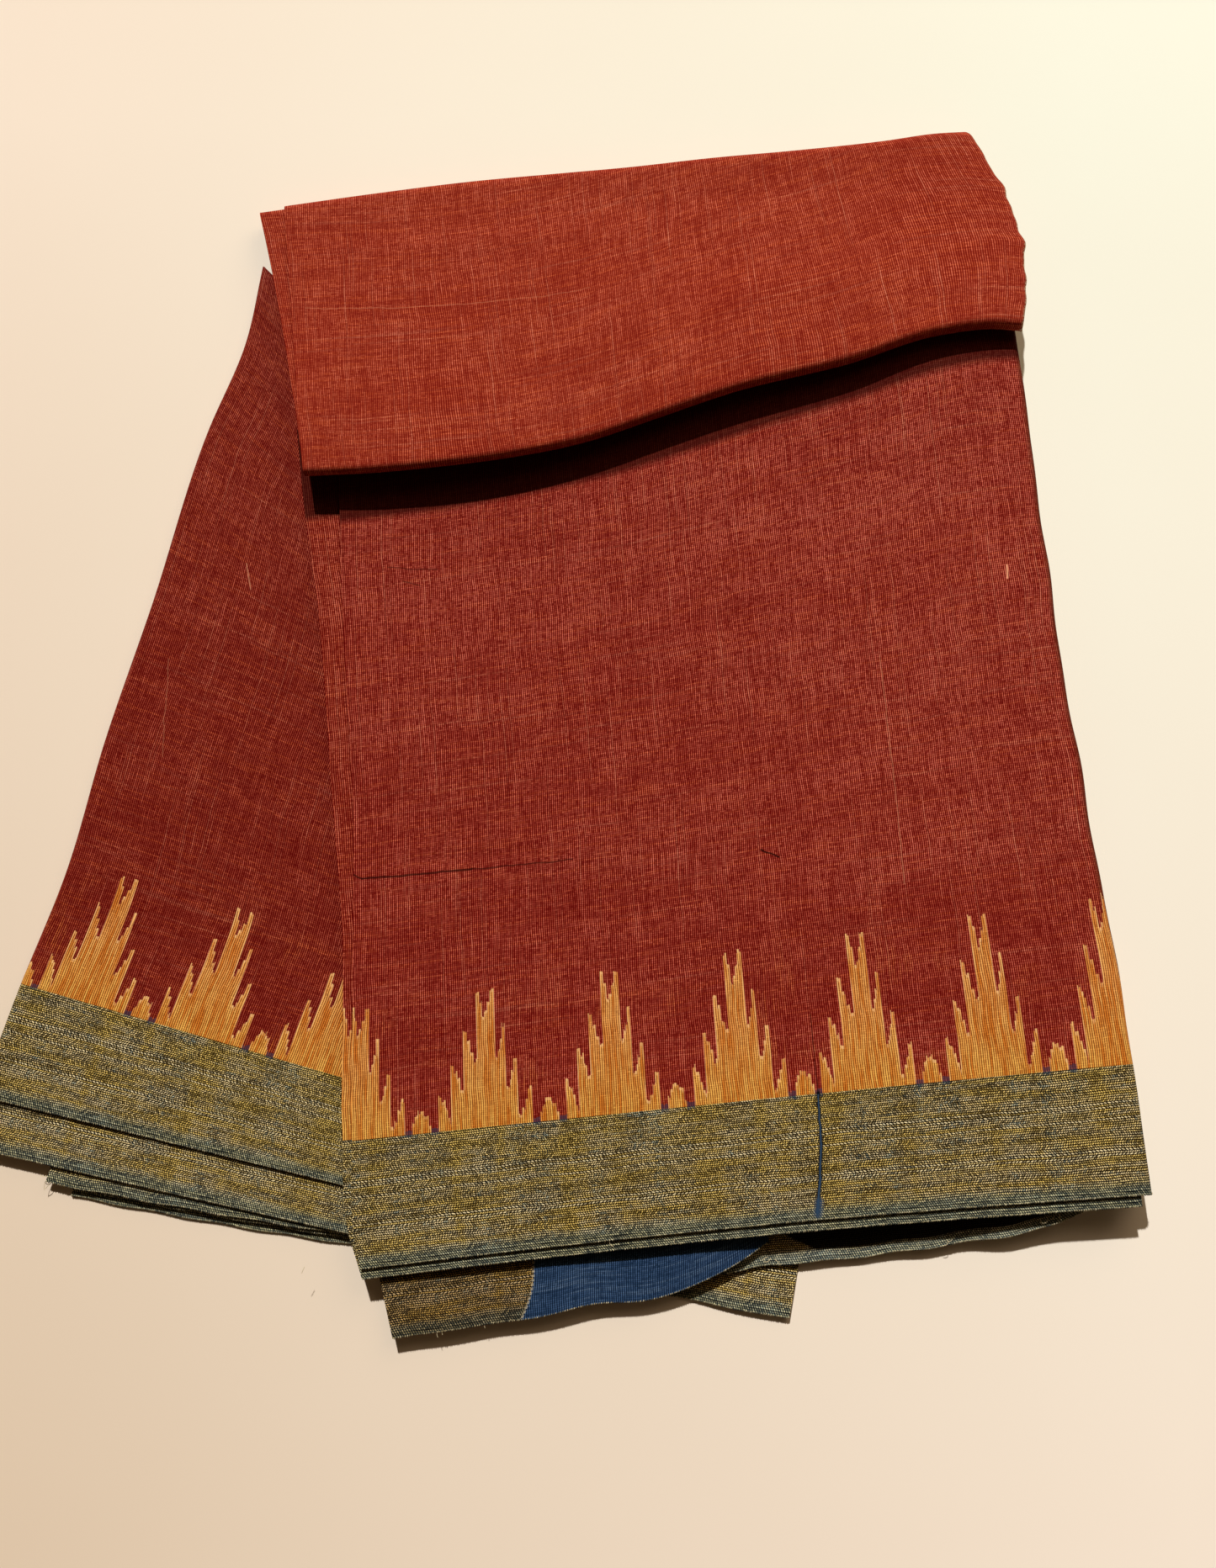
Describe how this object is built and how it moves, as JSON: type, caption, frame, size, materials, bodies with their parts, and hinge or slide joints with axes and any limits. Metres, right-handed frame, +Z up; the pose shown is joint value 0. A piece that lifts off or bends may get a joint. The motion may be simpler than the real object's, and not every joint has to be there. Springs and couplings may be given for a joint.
{
  "type": "folded sari",
  "caption": "Handwoven cotton sari folded flat: maroon field, mustard temple spires and an olive border on a front leaf with a tucked flap, over a fanned back leaf.",
  "frame": {"origin": "centre of the folded sari's box, on the surface it lies on", "axes": "+X to the right along the selvedges, +Y towards the folded top edge, +Z up from the surface"},
  "size_m": [0.5982, 0.664, 0.0346],
  "materials": {
    "maroon": "matt handwoven cotton",
    "deep_maroon": "matt handwoven cotton",
    "olive": "matt twilled cotton",
    "indigo": "matt handwoven cotton"
  },
  "bodies": {
    "root": {"hidden_layers": "deep_maroon", "front_panel": "maroon", "front_second_layer": "maroon", "front_lower_layer": "olive", "flap": "maroon", "flap_second_layer": "maroon", "back_panel": "maroon", "back_second_layer": "olive", "back_edge_upper": "olive", "back_edge_middle": "olive", "back_edge_lower": "olive", "tucked_end": "indigo", "under_corner": "olive"}
  },
  "joints": []
}
